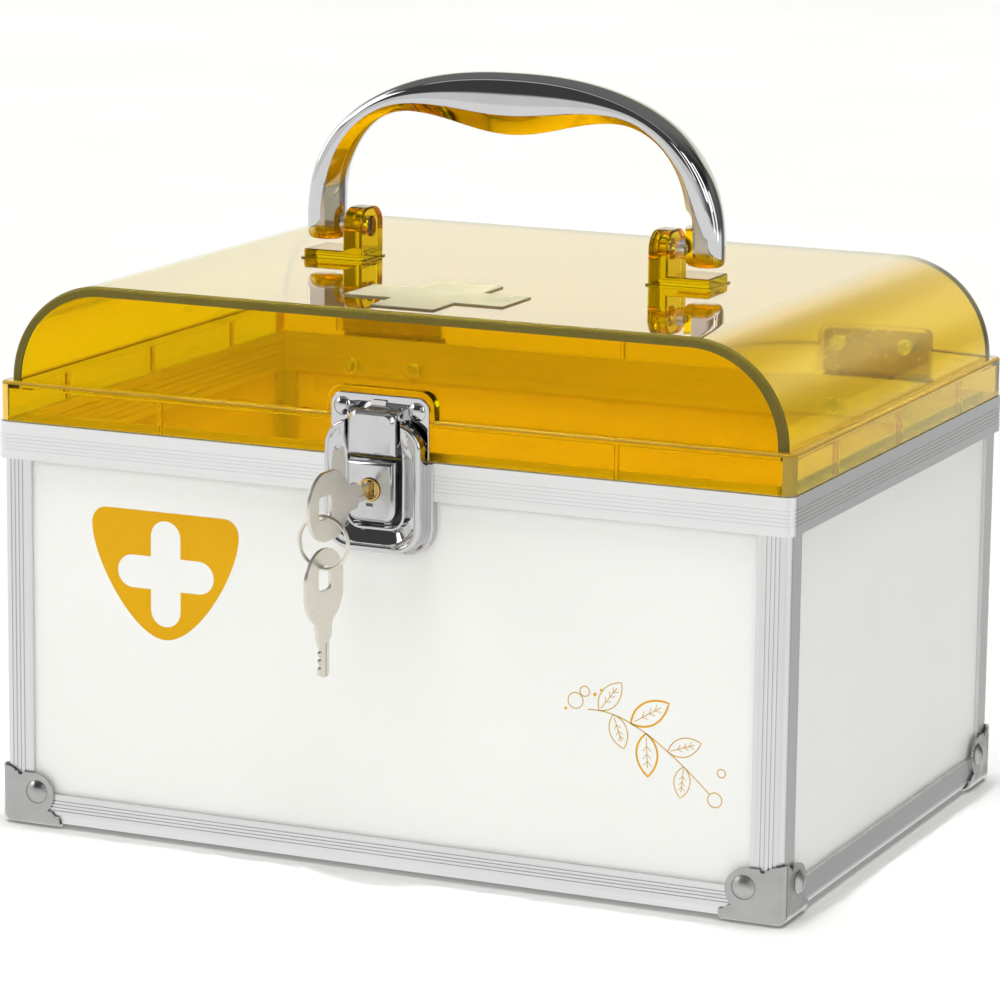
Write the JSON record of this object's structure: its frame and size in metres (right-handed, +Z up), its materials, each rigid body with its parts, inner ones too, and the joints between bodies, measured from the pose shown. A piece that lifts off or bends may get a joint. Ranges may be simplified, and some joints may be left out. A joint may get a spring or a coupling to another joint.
{
  "type": "first aid box",
  "caption": "White-panelled first aid carry case with aluminium frame, arched clear amber lid on rear hinges, bow handle and key latch.",
  "frame": {"origin": "centre of the footprint, on the surface the box stands on", "axes": "+X to the right along the front, +Y towards the hinge side, +Z up; the latch faces -Y"},
  "size_m": [0.2758, 0.2477, 0.2429],
  "materials": {
    "white_panel": "smooth satin laminate",
    "aluminium_frame": "natural anodised, fine drawn grain",
    "nickel_steel": "satin nickel plate",
    "hinge_steel": "bright plated steel",
    "chrome": "mirror chrome plate",
    "brass": "polished brass",
    "key_nickel": "warm nickel plate, satin",
    "amber_clear": "clear amber, glossy",
    "frosted_cross": "frosted amber"
  },
  "bodies": {
    "box": {"bottom_panel": "white_panel", "front_panel": "white_panel", "back_panel": "white_panel", "left_panel": "white_panel", "right_panel": "white_panel", "post_front_left": "aluminium_frame", "post_front_right": "aluminium_frame", "post_back_left": "aluminium_frame", "post_back_right": "aluminium_frame", "top_rim": "aluminium_frame", "rail_front": "aluminium_frame", "rail_back": "aluminium_frame", "rail_left": "aluminium_frame", "rail_right": "aluminium_frame", "cap_front_left": "nickel_steel", "cap_front_right": "nickel_steel", "cap_back_left": "nickel_steel", "cap_back_right": "nickel_steel", "cap_rivets": "nickel_steel", "hinge_left_body_leaf": "hinge_steel", "hinge_right_body_leaf": "hinge_steel", "hinge_left_pin": "hinge_steel", "hinge_right_pin": "hinge_steel", "hinge_body_rivets": "hinge_steel", "latch_base": "chrome", "latch_frame": "chrome", "latch_rivets": "chrome"},
    "slide": {"latch_slide": "chrome", "latch_springs": "hinge_steel"},
    "cylinder": {"key_cylinder": "brass", "lock_cam": "hinge_steel"},
    "key": {"key_in_lock": "key_nickel"},
    "ring": {"split_ring": "key_nickel"},
    "spare": {"spare_key": "key_nickel"},
    "lid": {"lid_shell": "amber_clear", "lid_cross_plate": "frosted_cross", "handle_bracket_left": "amber_clear", "handle_bracket_right": "amber_clear", "hinge_left_lid_leaf": "hinge_steel", "hinge_right_lid_leaf": "hinge_steel", "hinge_lid_rivets": "hinge_steel", "strike_plate": "chrome", "strike_rivets": "chrome", "hasp_pin": "hinge_steel"},
    "hasp": {"hasp": "chrome"},
    "handle": {"handle_bow": "chrome", "handle_pivot_screws": "hinge_steel"}
  },
  "joints": [
    {"name": "lid_hinge", "type": "hinge", "parent": "box", "child": "lid", "pos_m": [0, 0.1014, 0.13305], "axis": [-1, 0, 0], "range_deg": [0, 105]},
    {"name": "handle_swing", "type": "hinge", "parent": "lid", "child": "handle", "pos_m": [0, 0, 0.18935], "axis": [1, 0, 0], "range_deg": [-90, 90]},
    {"name": "hasp_pivot", "type": "hinge", "parent": "lid", "child": "hasp", "pos_m": [0, -0.1019, 0.1473], "axis": [-1, 0, 0], "range_deg": [0, 90]},
    {"name": "slide_press", "type": "slide", "parent": "box", "child": "slide", "axis": [0, 0, -1], "range_m": [0, 0.0018], "stiffness_N_per_m": 700, "springref_m": -0.002, "deforming": ["latch_springs"]},
    {"name": "cylinder_turn", "type": "hinge", "parent": "slide", "child": "cylinder", "pos_m": [0, -0.103, 0.1244], "axis": [0, 1, 0], "range_deg": [0, 90]},
    {"name": "key_pull", "type": "slide", "parent": "cylinder", "child": "key", "axis": [-0.0872, -0.9962, 0], "range_m": [0, 0.014]},
    {"name": "ring_swing", "type": "hinge", "parent": "key", "child": "ring", "pos_m": [-0.0023, -0.13288, 0.12073], "axis": [1, 0, 0], "range_deg": [-20, 20]},
    {"name": "spare_swing", "type": "hinge", "parent": "ring", "child": "spare", "pos_m": [-0.0023, -0.13288, 0.10443], "axis": [1, 0, 0], "range_deg": [-20, 20]}
  ]
}
